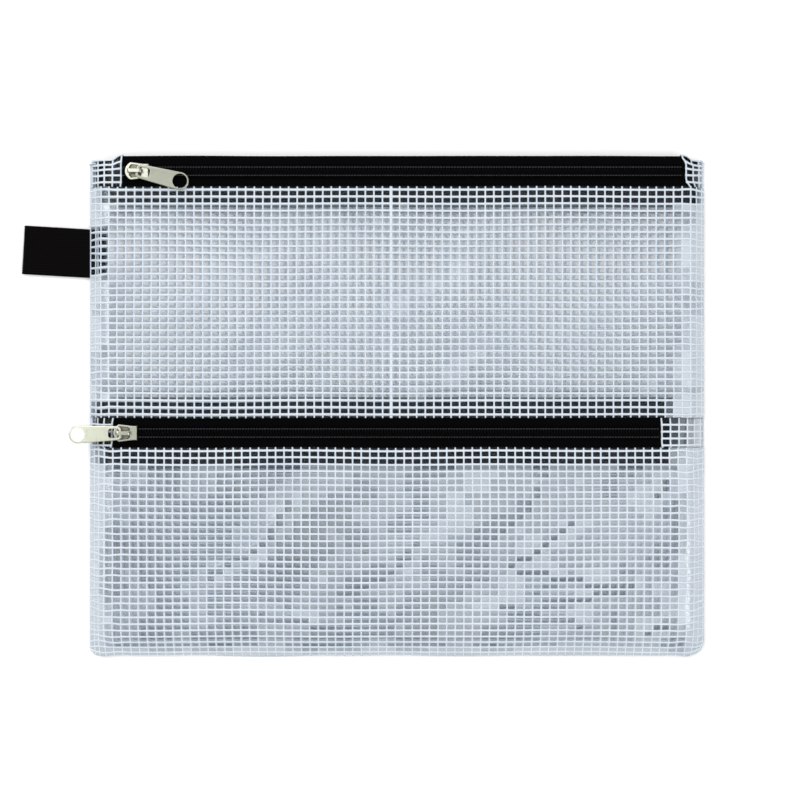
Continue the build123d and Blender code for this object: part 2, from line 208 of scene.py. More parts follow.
# Roughness and specular level, sizes of shade and twist in mm, the twist's detail, strength and depth
for name, *colours, finish, shade, twist, detail, strength, depth in (
    ("PVC-coated polyester thread", "#D2DEEA", "#E9F1F9", (0.36, 0.5), 18, 0.9, 1.0, 0.25, 0.1),
    ("nylon monofilament", "#020203", "#060607", (0.28, 0.06), 3, 3, 2.0, 0.2, 0.06),
    ("polyester filler cord", "#060607", "#0E0E10", (0.75, 0.1), 1, 1, 2.0, 0.2, 0.06),
    # The black sewing thread is coloured grey as painted sheen; the yarn itself is black
    ("black sewing thread", "#303036", "#5C5C66", (0.5, 0.2), 1, 1, 2.0, 0.2, 0.06),
    ("white sewing thread", "#DCE3EA", "#F4F7FA", (0.5, 0.5), 1, 1, 2.0, 0.2, 0.06),
):
    finish = dict(zip(("Roughness", "Specular IOR Level"), finish))
    mottle = (noise, {"Scale": 1 / (shade * MM), "Detail": 2.0})
    strands = (noise, {"Scale": 1 / (twist * MM), "Detail": detail})
    yarns[name] = make_material(name, finish, colours, mottle, strands, strength, depth * MM)[0]
print("yarn materials", list(yarns))

# %% [markdown]
# **Woven polyester tape** of the zips: matt black with a fine slanting twill. **Woven satin ribbon** of
# the bare label: black with fine cross ribs, softly shiny along them. Both patterns are 0.4 to 0.5 mm
# apart on the real ones and drawn 0.9 mm apart, so that they show. Black yarn drinks the light, so the
# specular level is low.

# %% tape and ribbon
weave_gap = 0.9 * MM
# At a scale of 1 the lines of a wave texture lie this far apart
wave_gap = 0.31
woven = []
for name, roughness, way, distortion, detail, strength, depth, *colours in (
    ("woven polyester tape", 0.85, "DIAGONAL", 1.2, 2.0, 0.5, 0.12, "#020203", "#080809"),
    ("woven satin ribbon", 0.65, "Y", 0.6, 1.5, 0.4, 0.1, "#030203", "#0B090A"),
):
    settings = {"Scale": wave_gap / weave_gap, "Distortion": distortion, "Detail": detail}
    weave = (wave, {"bands_direction": way, **settings})
    finish = {"Roughness": roughness, "Specular IOR Level": 0.03}
    woven.append(make_material(name, finish, colours, weave, weave, strength, depth * MM)[0])
tape, ribbon = woven
print("woven materials", tape.name, "and", ribbon.name)

# %% [markdown]
# ** Nickel-plated zinc** of the sliders and pulls: die-cast, tumbled and plated, so bright with a faint
# warm tone, softly wavy and slightly uneven in gloss. In the sliders' pockets the metal is duller, and it
# is painted darker and mottled there: painted shade in the recesses.

# %% nickel
cast_grain, smudge_size = 1.5 * MM, 6 * MM
plated, dull = {"Metallic": 1.0, "Base Color": linear("#B3B5A6")}, {"Metallic": 1.0, "Roughness": 0.42}
cast = {"relief": (noise, {"Scale": 1 / cast_grain, "Detail": 2.0}), "strength": 0.12, "depth": 0.1 * MM}
nickel, shader, place_on = make_material("nickel-plated zinc", plated, **cast)
smudge = add_node(nickel, noise, {"Scale": 1 / smudge_size, "Detail": 3.0}, place_on)
least_most = {"To Min": 0.14, "To Max": 0.28}
uneven = add_node(nickel, "ShaderNodeMapRange", least_most, {"Value": smudge.outputs["Fac"]})
nickel.node_tree.links.new(uneven.outputs["Result"], shader.inputs["Roughness"])
# The pockets' metal is painted darker and mottled: painted shade in the recesses
pocket_shade_mottle = (noise, {"Scale": 1 / cast_grain, "Detail": 3.0})
pocket_shade_metal = make_material("nickel-plated zinc, painted pocket shade", dull, ("#5C5B50", "#8F8E80"), pocket_shade_mottle)[0]
print("metal materials", nickel.name, "and", pocket_shade_metal.name)

# %% [markdown]
# ## Mesh helpers
# Every soft piece is a sheet, or a thread on a sheet. A sheet is one function from flat cloth
# coordinates (s across, t along) to a place on the wallet, so film and threads can't drift apart. Its
# section is a cubic B-spline, a smooth line that a few points pull along. Unlike a curve through the
# points, it never overshoots.


# %% smooth lines
def flow(points, steps=24):
    """A smooth line that points pull along: its length, and its place at a distance."""
    p = np.array(points, float)
    p = np.vstack([p[:1], p[:1], p, p[-1:], p[-1:]])
    u = np.linspace(0, 1, steps, endpoint=False)[:, None]
    weights = ((1 - u) ** 3, 3 * u**3 - 6 * u**2 + 4, -3 * u**3 + 3 * u**2 + 3 * u + 1, u**3)
    runs = [sum(w * q for w, q in zip(weights, p[i : i + 4])) / 6 for i in range(len(p) - 3)]
    line = np.vstack([*runs, p[-1:]])
    # A third value says how far the line drops, and counts as height
    height = line[:, 1] - (line[:, 2] if line.shape[1] > 2 else 0)
    far = np.concatenate([[0], np.cumsum(np.hypot(np.diff(line[:, 0]), np.diff(height)))])
    return far[-1], lambda d: np.stack([np.interp(d, far, column) for column in line.T], -1)


def mirrored(points):
    """A whole section from its right half."""
    return [(-x, *rest) for x, *rest in reversed(points)] + list(points[1:])


print(f"a 10 mm square corner flows along {flow([(0, 0), (10, 0), (10, 10)])[0]:.1f} mm")

# %% [markdown]
# A piece is a mesh made from lists of points and faces. Blender's own grids and tubes could be bent with
# modifiers, but points worked out in code land exactly on their sheet. A thread also needs the direction
# that stands on its sheet, which comes from the sheet's two slopes.


# %% make a piece
def make_piece(name, points, faces, materials, body="wallet", indices=None):
    """A smooth-shaded mesh from points in millimetres, riding on a body."""
    mesh = bpy.data.meshes.new(name)
    mesh.from_pydata((np.asarray(points, float).reshape(-1, 3) * MM).tolist(), [], faces)
    for material in materials:
        mesh.materials.append(material)
    mesh.polygons.foreach_set("use_smooth", np.ones(len(mesh.polygons), bool))
    if indices is not None:
        mesh.polygons.foreach_set("material_index", np.asarray(indices, np.int32))
    mesh.update()
    piece = add_object(name, mesh)
    if body:
        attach(piece, body)
    return piece


def unit(vectors):
    """Directions of length one."""
    return vectors / np.maximum(np.linalg.norm(vectors, axis=-1, keepdims=True), 1e-9)


def stand(place, s, t, near=0.05):
    """Points of a sheet and the directions that stand on it."""
    along_s = place(s + near, t) - place(s - near, t)
    along_t = place(s, t + near) - place(s, t - near)
    return place(s, t), unit(np.cross(along_s, along_t))


print("a slope of (3, 4) has the direction", unit(np.array([3.0, 4.0])))

# %% [markdown]
# A film is a closed shell: two skins a fraction of a millimetre apart, joined round the rim. A Solidify
# modifier would do as well, but here each cell also gets its own material. The points are the thread
# crossings and the middle of each cell, which sinks a little at random, as film does between threads.
# That gives each cell its own glint.

# %% film shell
# Narrower cells, beside a fold, don't sink. The others sink by a share between these two
narrow, sink_shares = 1.5, (0.1, 1.0)


def make_film(
    name, place, s_lines, t_lines, materials, thickness,
    dimple=0.0, grades=None, slot=None, seed=1, body="wallet",
):
    """A closed thin shell over a sheet's lines. grades(s, t) picks each cell's material."""
    chance = np.random.default_rng(seed)
    s, t = np.meshgrid(s_lines, t_lines, indexing="ij")
    corners, corner_up = stand(place, s, t)
    between = ((lines[1:] + lines[:-1]) / 2 for lines in (s_lines, t_lines))
    s_mid, t_mid = np.meshgrid(*between, indexing="ij")
    middles, middle_up = stand(place, s_mid, t_mid)
    wide = np.minimum(*np.meshgrid(np.diff(s_lines), np.diff(t_lines), indexing="ij")) > narrow
    middles = middles - middle_up * (wide * chance.uniform(*sink_shares, wide.shape) * dimple)[..., None]
    points, half = [], thickness / 2
    for side in (half, -half):
        points += [(corners + corner_up * side).reshape(-1, 3), (middles + middle_up * side).reshape(-1, 3)]

    ns, nt = s.shape
    corner = np.arange(ns * nt).reshape(ns, nt)
    middle = ns * nt + np.arange((ns - 1) * (nt - 1)).reshape(ns - 1, nt - 1)
    a, b, c, d = corner[:-1, :-1], corner[1:, :-1], corner[1:, 1:], corner[:-1, 1:]
    quarters = ((a, b, middle), (b, c, middle), (c, d, middle), (d, a, middle))
    upper = np.stack([np.stack(quarter, -1) for quarter in quarters], 2).reshape(-1, 3)
    below = ns * nt + (ns - 1) * (nt - 1)
    lower = upper[:, ::-1] + below
    rim = np.concatenate([corner[:, 0], corner[-1, 1:], corner[-2::-1, -1], corner[0, -2::-1]])
    walls = np.stack([rim[1:], rim[:-1], rim[:-1] + below, rim[1:] + below], -1)
    faces = upper.tolist() + lower.tolist() + walls.tolist()
    which = np.zeros(len(faces), int)
    if grades is not None:
        # Each cell has four faces in each skin
        which[: 2 * len(upper)] = np.tile(np.repeat(grades(s_mid, t_mid).reshape(-1), 4), 2)
    return make_piece(name, np.vstack(points), faces, materials, body, which)


print("film sinks between threads more than", narrow, "mm apart")

# %% [markdown]
# A thread is a closed tube with a flattened section. Bevelled curves could make it, one object to a
# thread. This function makes any number of tubes in one mesh, for the scrim, coils, cords and stitches.


# %% tubes
def make_tubes(name, yarn, centres, ups, widths, heights, sides=6, slot=None):
    """Closed tubes of a yarn along rows of points, flattened towards their up directions."""
    tangents = unit(np.gradient(centres, axis=1))
    across = unit(np.cross(ups, tangents))
    ups = np.cross(tangents, across)
    turn = (np.arange(sides) + 0.5) * 2 * math.pi / sides
    widths, heights = (np.broadcast_to(each, centres.shape[:2]) for each in (widths, heights))
    ring = (np.cos(turn) * widths[..., None] / 2)[..., None] * across[:, :, None]
    ring = ring + (np.sin(turn) * heights[..., None] / 2)[..., None] * ups[:, :, None]
    points = centres[:, :, None] + ring
    index = np.arange(points[..., 0].size).reshape(points.shape[:3])
    here, there = index[:, :-1], index[:, 1:]
    quads = np.stack([here, np.roll(here, -1, 2), np.roll(there, -1, 2), there], -1).reshape(-1, 4)
    caps = index[:, 0, ::-1].tolist() + index[:, -1].tolist()
    return make_piece(name, points, quads.tolist() + caps, [yarns[yarn]])


print("threads are closed tubes, capped at both ends")

# %% [markdown]
# ## The film panels
# The scrim has a thread every 3.85 mm across and every 3.1 mm up, counted in the photograph. The threads
# that run across are bolder, about 1 mm wide, and on top. Crossings are fused, so a thread is a little
# wider and higher there. A bump texture could draw the grid, but from a low angle the eye expects real
# tubes.

# %% scrim
pitch_across, pitch_up = 3.85, 3.1
half_pitch = pitch_across / 2
bold, fine, thread_height, doubled_wide = 1.04, 0.86, 0.42, 1.9
# A thread's share of width and height at a crossing, its share of width between two, and a crossing's reach
fused_wide, fused_high, drawn_in, fused_reach = 1.14, 1.1, 0.93, 0.4
# How far a thread lies above or below the middle of the grid, and from an edge at least
layer, edge_gap = 0.08, 0.3


def spread_lines(length, start, pitch):
    """Evenly spaced thread lines over a length, one of them at start."""
    first = start - math.floor((start - edge_gap) / pitch) * pitch
    return np.arange(first, length - edge_gap, pitch)


def with_middles(lines):
    """The lines, with one more between each two that lie well apart."""
    gaps = np.diff(lines)
    return np.sort(np.concatenate([lines, lines[:-1][gaps > narrow] + gaps[gaps > narrow] / 2]))


def make_scrim(name, place, s_threads, t_threads, s_lines, t_lines, plain=False, heavy=None):
    """The upright and the bolder across threads of a sheet, as two pieces. Heavy is a doubled one."""
    made = []
    for kind, own, crossings, along, width, lift in (
        ("upright", s_threads, t_threads, t_lines, fine, -layer),
        ("across", t_threads, s_threads, s_lines, bold, layer),
    ):
        points = along if plain else with_middles(along)
        line, step = np.meshgrid(own, points, indexing="ij")
        centres, ups = stand(place, line, step) if kind == "upright" else stand(place, step, line)
        near = np.abs(points[:, None] - crossings[None]).min(1) < fused_reach
        widths = width * np.where(near, fused_wide, drawn_in)[None] * np.ones((len(own), 1))
        if heavy is not None and kind == "upright":
            widths[np.abs(own - heavy).argmin()] *= doubled_wide
        tall = np.where(near, fused_high, 1.0)[None] * thread_height
        called, sides = (f"{name}_{kind}_threads", "PVC-coated polyester thread"), 4 if plain else 6
        made.append(make_tubes(*called, centres + ups * lift, ups, widths, tall, sides, "mesh_film"))
    return made


print("scrim of", pitch_across, "x", pitch_up, "mm")

# %% [markdown]
# Slack film is never flat. Long gentle waves run over the whole sheet, and short ones crumple it near
# the side seams, where the wallet was turned right side out. Sums of sine waves are used and not random
# noise, so each run is the same and the slopes are smooth.


# %% waves, crumples and creases
def ripple(x, y, phase):
    """A gentle unevenness between -1 and 1."""
    slow, slanting = np.sin(x / 23 + phase), np.sin((x + y) / 17 + 2.1 * phase)
    return (slow + slanting + np.sin(y / 13 - x / 41 + 3.7 * phase)) / 3


def crumple(x, y, start, phase):
    """A short, sharper unevenness that grows from start towards the side."""
    share = np.clip((np.abs(x) - start) / (half_width - start), 0, 1)
    return share * (np.sin(y / 1.9 + x / 2.6 + phase) + np.sin(y / 3.4 - x / 2.2 + 1.7 * phase)) / 2


def beside_crease(x, y, creases):
    """The distance from the nearest crease, less than zero on the crease's left."""
    nearest = np.full(np.shape(x), 1000.0)
    for crease in creases:
        for (x0, y0), (x1, y1) in zip(crease, crease[1:]):
            run_x, run_y = x1 - x0, y1 - y0
            share = np.clip(((x - x0) * run_x + (y - y0) * run_y) / (run_x**2 + run_y**2), 0, 1)
            away = np.hypot(x - x0 - share * run_x, y - y0 - share * run_y)
            side = np.sign((x - x0) * run_y - (y - y0) * run_x)
            nearest = np.where(away < np.abs(nearest), away * side, nearest)
    return nearest


print("ripple at the middle", round(float(ripple(0.0, 0.0, 0.4)), 2))

# %% [markdown]
# Haze could be painted with a texture, but on real film it stays between the threads. So a function
# grades each cell from 0, clear, to 4, closed up. The film is hazy in slanting streaks, as rubbed film
# is, and the streaks also stand for glare: partly painted highlight. A crease's ridge is left clear, so
# it reads darker as a painted dark reflection, and the cells beside it are raised as a painted glint.
# Over the black tapes and label it looks clear, with a light veil in the next row. The turned seams
# close it up.

# %% haze
# The bands that the seams close up, the side bands' shift to the left, and the grade added
foot_band, seam_band, seam_shift, seam_grade = 6.5, 8.5, 1.2, 3.8
# Over the tapes the side bands begin here, left and right of the middle, give or take a streak
haze_ends, haze_sway = {"top_zip": (128.0, 138.0), "mid_zip": (133.5, 121.5)}, 4
# A tape shows this far behind a hem, and the middle zip's hem lies this far from its line
hem_clear, hem_half = 6.6, mid_upper_hem - zip_line["mid_zip"]
# A crease's clear ridge and its bright side, and the grades of streaks, ridge and bright side.
# Clear ridge: painted dark reflection. Bright side: painted glint. Streaks: partly painted glare.
crease_line, crease_glint = 1.5, 6.0
streak_grade, streak_most, ridge_grade, glint_grade = 1.3, 2.9, -0.2, 0.7


def hazy(place, start, phase, cloud, slant=45, creases=(), over_tape=None):
    """A function that grades a film's cells. Cloud is the usual grade, the side bands begin at start."""
    lean_x, lean_y = math.cos(math.radians(slant)), math.sin(math.radians(slant))

    def grade(s, t):
        x, y, _ = np.moveaxis(place(s, t), -1, 0)
        along, aside = lean_x * x + lean_y * y, lean_x * y - lean_y * x
        # The slanting streaks are haze, and partly painted glare
        streak = ripple(along * 0.6, aside * 2.4, phase) + 0.5 * ripple(x * 5, y * 4, phase + 1)
        beside = beside_crease(x, y, creases)
        # Beside a crease the haze is raised as a painted glint; the ridge is cleared to read darker, a
        # painted dark reflection
        glint = np.where((beside > 0) & (beside < crease_glint), glint_grade, 0)
        cloudy = np.minimum(cloud + streak_grade * streak + glint, streak_most)
        cloudy = np.where(np.abs(beside) < crease_line, ridge_grade, cloudy)
        from_hem = np.minimum(top_hem - y, np.abs(y - zip_line["mid_zip"]) - hem_half)
        on_tape, veiled = from_hem < hem_clear, from_hem < hem_clear + pitch_up
        cloudy = np.where(veiled, np.clip(cloudy, 1, 2), cloudy)
        at_top = y > (top_hem + mid_upper_hem) / 2
        ends = np.where(at_top[..., None], haze_ends["top_zip"], haze_ends["mid_zip"])
        tape_from = over_tape or np.where(x < 0, ends[..., 0], ends[..., 1])
        begins = np.where(on_tape, tape_from + haze_sway * streak, start)
        side, foot = (np.abs(x + seam_shift) - begins) / seam_band, 1 - (y - bottom) / foot_band
        grades = np.where(on_tape, 0, cloudy) + seam_grade * np.clip(np.maximum(side, foot), 0, 1)
        on_label = (x < sewn_high[0] + 1) & (np.abs(y - label_y) < label_half + 0.5)
        return np.clip(np.round(np.where(on_label, 0, grades)), 0, 4).astype(int)

    return grade


print("side seams close up over", seam_band, "mm")

# %% [markdown]
# The bottom corners are drawn in to soft rounds, as turned corners are. The top ones, which no zip holds
# up, hang a little lower. Then one function lays any sheet: it lifts the section across by the section
# along, low at the seams and full in the middle, and adds the unevenness.

# %% corners and sheets
corner_rounds = ((1, 7.0), (-1, 4.0))
# Side, where the drop begins, and its share of the height above the zip
corner_drops, drop_ramp = ((1, 129.5, 0.3), (-1, 124.8, 0.32)), 3.5
hem, hem_drop = 9.0, 0.5
# How much a crumple moves the sheet up and along
crumple_up, crumple_along = 0.5, 0.9


def round_corner(x, y):
    """The two bottom corners, drawn in."""
    for side, radius in corner_rounds:
        u = np.clip((side * x - half_width + radius) / radius, 0, 1)
        v = np.clip((-y - half_height + radius) / radius, 0, 1)
        x = x - side * radius * u * (1 - np.sqrt(1 - v * v / 2))
        y = y + radius * v * (1 - np.sqrt(1 - u * u / 2))
    return x, y


def droop(x, y):
    """The two top corners, lowered."""
    for side, start, share in corner_drops:
        fall = np.clip((side * x - start) / drop_ramp, 0, 1)
        y = y - share * fall**2 * (3 - 2 * fall) * np.maximum(y - zip_line["top_zip"], 0)
    return y


def lay_sheet(side, rows, edge, top, phase, loose, sway, crumple_from, crumple_size, slant=0.0):
    """A sheet and its flat size, from its sections. Loose waves lift it, sway and slant move its rows."""
    (width, across), (length, along) = flow(side), flow(rows)

    def place(s, t):
        x, z = np.moveaxis(across(s), -1, 0)
        y, height, drop = np.moveaxis(along(t), -1, 0)
        lift = (z - edge) / (top - edge)
        full = np.clip(lift, 0, 1)
        # In the flat seam a hem lies less far below the sheet
        z = edge + (height - edge) * lift - drop * (0.4 + 0.6 * full)
        folds = crumple(x, y, crumple_from, phase) * crumple_size
        z = z + loose * full * ripple(x, y, phase) + crumple_up * folds * full
        tilt = slant * drop / hem_drop * x / half_width
        y_new = y + sway * ripple(y * 1.3, x, phase + 1) + crumple_along * folds + tilt
        x_new = x + loose * 0.5 * ripple(y, x * 1.2, phase + 2) * full
        return np.stack([*round_corner(x_new, y_new), z], -1)

    return place, (width, length)


print("bottom corners", corner_rounds, "top corners", corner_drops)

# %% [markdown]
# All panels are made alike. Their lines are the threads, the ends and a few lines round each fold. Then
# come the film, which stands for its nodes of the frame, and the scrim on it.

# %% make a panel
film_thick, least_gap = 0.2, 0.12
fold_steps = (-0.7, -0.35, 0, 0.35, 0.7)
sheets = {}


def edge_lines(threads, length, folds):
    """Thread lines, the sheet's two ends, and a few lines round each fold."""
    extra = [0, length] + [fold + step for fold in folds for step in fold_steps]
    lines = np.sort(np.concatenate([threads, extra]))
    return lines[np.concatenate([[True], np.diff(lines) > least_gap])]


def make_panel(
    name, nodes, place, size, starts, grades, seed,
    folds=((), ()), dimple=0.1, pitch=pitch_up, plain=False, heavy=None,
):
    """One sheet of the wallet. Starts and folds are distances across and along its flat size."""
    threads = [spread_lines(*each) for each in zip(size, starts, (pitch_across, pitch))]
    lines = [edge_lines(*each) for each in zip(threads, size, folds)]
    film = make_film(name + "_film", place, *lines, films, film_thick, dimple, grades, "mesh_film", seed)
    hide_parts(*nodes)
    sheets[name] = (film, make_scrim(name, place, *threads, *lines, plain, heavy), size)
    print(f"{name} cut to {size[0]:.1f} x {size[1]:.1f} mm")


print("film", film_thick, "mm thick")

# %% [markdown]
# The front upper panel lies between the zips. Across, it comes up from one side seam, runs flat and goes
# down to the other, its edges turned in under it. Along, a hem at each zip folds back below it for 9 mm,
# and its rows are spaced so that a row of cells begins at each hem. One doubled thread runs down its
# middle, where the scrim was joined.

# %% front upper panel
# Half the thickness of the frame's sheets
half_sheet = 0.25
panel_middle = span("front_upper_panel")[1][2] - half_sheet
seam_edge, side_fold = 1.85, 8.4
side_turn = [(139.1, 2.1), (139.1, 1.55), (137, 1.6), (134, 1.6), (131.6, 1.6)]
front_side = [(x, panel_middle) for x in (0, 50, 100, 124, 130.5)]
front_side += [(132.7, panel_middle - 0.12), (134.7, 6.3), (137, 3.7), *side_turn]


def hem_at(y, way, height):
    """The turned hem at a zip, with its fold at y. Way is 1 if the sheet lies above it."""
    turn = [(0.5, 0), (-0.12, 0), (-0.12, 1), (0.5, 1), (2, 1), (6, 1), (hem, 1)]
    return [(y + way * far, height, hem_drop * under) for far, under in turn]


rows = list(reversed(hem_at(mid_upper_hem, 1, panel_middle)))
swell = ((mid_upper_hem + 4, 0), (20, 0.25), (50, 0.4), (75, 0.25), (top_hem - 4, 0))
rows += [(y, panel_middle + rise, 0) for y, rise in swell]
rows += hem_at(top_hem, -1, panel_middle)
lay_upper, (width_upper, length_upper) = lay_sheet(
    mirrored(front_side), rows, seam_edge, panel_middle,
    phase=0.4, loose=0.35, sway=0.25, crumple_from=124, crumple_size=0.5, slant=0.2,
)
# The doubled thread lies a little to the left of the middle
doubled_off = 2.65
doubled = width_upper / 2 - doubled_off
# The two hems fold where the sheet reaches furthest down and up
steps = np.linspace(0, length_upper, 6000)
heights = flow(rows)[1](steps)[:, 0]
hem_fold, top_fold = steps[heights.argmin()], steps[heights.argmax()]
rows_between, mid_offset, top_offset = 33, -0.3, 0.1
pitch_upper = (top_fold - hem_fold + (mid_offset + top_offset) / 2) / rows_between
make_panel(
    "front_upper", ["front_upper_panel"], lay_upper, (width_upper, length_upper),
    starts=(doubled, hem_fold + (pitch_upper - mid_offset) / 2),
    grades=hazy(lay_upper, 123.7, 0.7, 0.25, 40), seed=1,
    folds=((side_fold, width_upper - side_fold), (hem_fold, length_upper - hem_fold)),
    dimple=0.14, pitch=pitch_upper, heavy=doubled,
)

# %% [markdown]
# The front lower panel is the front pocket's outer wall. It has one hem, swells over the pocket and
# comes down to the bottom seam. Its upright threads lie half a pitch beside the upper panel's, as in the
# photograph, because the two come from different places of the roll. Slack film creases over a pocket,
# so short bent lines raise it by less than a millimetre. A cloth simulation would find creases of its
# own, but these lie where the photograph has some.

# %% front lower panel
bulge = span("front_lower_panel")[1][2] - half_sheet
bottom_fold = 7.8
crease_lap, crease_height = 4.5, 0.8
pocket_side = [(x, bulge) for x in (0, 50, 100, 122)]
pocket_side += [(129.5, bulge - 0.05), (132.5, bulge - 0.3), (134.8, 7.3), (137, 4.0), *side_turn]
foot = ((7.5, 1.6), (5, 1.6), (2.2, 1.6), (-0.2, 1.55), (-0.2, 2.1), (4, 5.2), (9.5, 9.0), (15, 10.5))
rows = [(bottom + up, z, 0) for up, z in foot]
rows += [(-85, bulge + 0.1, 0), (-60, bulge + 0.1, 0), (-44, bulge - 0.1, 0), (-35, 9.5, 0)]
rows += [(-27.5, panel_middle, 0), (mid_lower_hem - 4, panel_middle, 0)]
rows += hem_at(mid_lower_hem, -1, panel_middle)
lay_smooth, (width_lower, length_lower) = lay_sheet(
    mirrored(pocket_side), rows, seam_edge, bulge,
    phase=1.9, loose=0.45, sway=0.32, crumple_from=119, crumple_size=0.9,
)
pocket_creases = [
    [(41, -62), (56, -50), (67, -30)], [(50, -71), (64, -65), (80, -52)],
    [(106, -81), (76, -78), (51, -72.5)], [(101, -82.5), (66, -89)], [(82, -98), (48, -90)],
    [(112, -101), (122, -98)], [(115, -42), (123, -33)], [(-84, -76), (-60, -62), (-48, -44)],
    [(-22, -84), (-2, -74), (8, -62)], [(-28, -99), (-74, -92)],
]


def lay_lower(s, t):
    """The front lower panel, raised along its creases."""
    point = lay_smooth(s, t)
    away = np.abs(beside_crease(point[..., 0], point[..., 1], pocket_creases))
    point[..., 2] += crease_height * np.clip(1 - away / crease_lap, 0, 1)
    return point


make_panel(
    "front_lower", ["front_lower_panel"], lay_lower, (width_lower, length_lower),
    starts=(width_lower / 2 - doubled_off + half_pitch, length_lower - hem_fold - pitch_up / 2),
    grades=hazy(lay_lower, 125.8, 1.3, 1.6, 50, pocket_creases), seed=2,
    folds=((side_fold, width_lower - side_fold), (bottom_fold, length_lower - hem_fold)), dimple=0.14,
)

# %% [markdown]
# The divider is the wall behind the front pocket. It hangs from the middle zip's upper tape, its other
# edges in the seams. Only its threads show, as a faint second line in each cell, so they are plainer
# tubes and its film stays clear.

# %% divider
divider_middle = span("divider_panel")[1][2] - half_sheet
divider_end = span("divider_top_strip")[1][1]
rim_height, strip_height = 1.25, tape_low - half_sheet
divider_side = [(x, divider_middle) for x in (0, 50, 100, 117, 123)]
divider_side += [(126, 4.9), (128.6, 2.6), (131, 1.3), *((x, rim_height) for x in (133, 136, 138.7))]
foot = ((0.3, rim_height), (4, rim_height), (7.6, 1.3), (10.4, 2.7), (13, 4.9))
rows = [(bottom + up, z, 0) for up, z in foot]
rows += [(y, divider_middle, 0) for y in (bottom + 16, -80, -50, -20, -9, -5.2)]
rows += [(-3, 6.1, 0), *((y, strip_height, 0) for y in (-0.6, 1.6, divider_end))]
lay_divider, size_divider = lay_sheet(
    mirrored(divider_side), rows, rim_height, divider_middle,
    phase=3.1, loose=0.2, sway=0.9, crumple_from=128, crumple_size=0.3,
)
make_panel(
    "divider", ["divider_panel", "divider_top_strip"], lay_divider, size_divider,
    starts=(size_divider[0] / 2 - doubled_off + half_pitch, 2.3), grades=None, seed=3, plain=True,
)

# %% [markdown]
# The back panel is what the wallet lies on. Its side and bottom edges are turned in flat, and its top
# edge turns up behind the top zip's tape. Its upright threads, half a pitch off the upper panel's, give
# the faint line down the middle of each upper cell.

# %% back panel
floor_gap, turned_in, back_fold = 0.34, 0.84, 7.9
turn_up, turn_height = half_height - 0.75, 3.6
back_side = [(x, floor_gap) for x in (0, 50, 100, 130, 136.5, 139.2)]
back_side += [(x, turned_in) for x in (139.2, 136.5, 134, 131.6)]
width_back, across_back = flow(mirrored(back_side))
rows = [(bottom + up, 0.5) for up in (7.5, 5, 2.4, -0.2)] + [(bottom - 0.2, 0)]
rows += [(y, 0) for y in (bottom + 2.4, -80, -40, 0, 40, 80, half_height - 3)]
rows += [(turn_up, z) for z in (0, 0.8, 2, turn_height)]
length_back, along_back = flow(rows)


def lay_back(s, t):
    """The back panel: flat on the table, with its edges turned in."""
    x, z = np.moveaxis(across_back(s), -1, 0)
    y, turn = np.moveaxis(along_back(t), -1, 0)
    y_new = y + 0.7 * ripple(y * 1.3, x, 5.0)
    return np.stack([*round_corner(x, droop(x, np.minimum(y_new, turn_up))), z + turn], -1)


make_panel(
    "back", ["back_panel", "back_turned_edges", "back_top_turn_up"], lay_back, (width_back, length_back),
    starts=(width_back / 2 - doubled_off + half_pitch, 0.9), grades=hazy(lay_back, 126, 2.2, -0.4), seed=4,
    folds=((back_fold, width_back - back_fold), (back_fold, length_back - turn_height)), plain=True,
)

# %% [markdown]
# Four short ends of the same sheet cover the zips' ends. Each lies on the tape and goes down to the side
# seam, and at the top zip it also turns down over the edge. None was cut quite square, so its inner edge
# leans, but only beside the slider's path.

# %% end tabs
slider_half = span("top_zip_slider")[1][1] - zip_line["top_zip"] + 0.3
tab_middle, over = tape_top + half_sheet, half_height + 0.65
# A lean fades out over this much of the width, and grows in over this much of the height
lean_fade, lean_ramp = 8, 2.2
outer = [(133.6, 6.4), (136.4, 3.9), (139, 2.1), (139, 1.55), (136, 1.6), (131.6, 1.6)]
for name, way, phase, lean, haze_from in (
    ("top_zip_left_tab", -1, 0.3, 0.3, 136),
    ("top_zip_right_tab", 1, 1.1, -1.9, 138),
    ("mid_zip_left_tab", -1, 2.3, 0.6, 133.5),
    ("mid_zip_right_tab", 1, 2.9, -0.4, 126),
):
    low, high = span(name)
    window = min(abs(low[0]), abs(high[0]))
    inner = [(window, tab_middle), (window + 0.4 * (132 - window), tab_middle), (131.4, tab_middle - 0.05)]
    section = inner + outer if way > 0 else [(-x, z) for x, z in reversed(inner + outer)]
    rows = [(y, tab_middle, 0) for y in (low[1], low[1] + 4, high[1] - 4, high[1])]
    if name.startswith("top"):
        rows[2:] = [(over - 3, tab_middle, 0), (over - 0.3, tab_middle, 0)]
        rows += [(over, z, 0) for z in (tab_middle - 0.4, 5.5, 3.5)]
    lay_straight, (tab_width, tab_length) = lay_sheet(
        section, rows, seam_edge, tab_middle,
        phase, loose=0.15, sway=0.1, crumple_from=130, crumple_size=0.5,
    )

    def lay_tab(s, t):
        """An end tab, whose inner edge leans as it was sewn."""
        point = lay_straight(s, t)
        share = np.clip(1 - np.abs(np.abs(point[..., 0]) - window) / lean_fade, 0, 1)
        beside = point[..., 1] - zip_line[name[:7]]
        clear = np.clip((np.abs(beside) - slider_half) / lean_ramp, 0, 1)
        point[..., 0] += lean * share * np.sign(beside) * clear
        point[..., 1] = droop(point[..., 0], point[..., 1])
        return point

    first_column = tab_width - 0.5 if way < 0 else 0.5
    first_row = tab_length - 4.0 if name.startswith("top") else 1.2
    grades = hazy(lay_tab, half_width, phase, 0.0, over_tape=haze_from)
    make_panel(name, [name], lay_tab, (tab_width, tab_length), (first_column, first_row), grades, seed=7)

# %% [markdown]
# Rows of white lockstitch hold the hems on the tapes. Each stitch comes up through the film, lies on it
# for 2.6 mm and goes down again.

# %% stitches
stitch_long, stitch_gap, stitch_wide, stitch_high = 2.6, 0.5, 0.26, 0.22
# From the fold to the row, and from the sheet's side to the first stitch
stitch_in, seam_in = 1.9, side_fold + 9


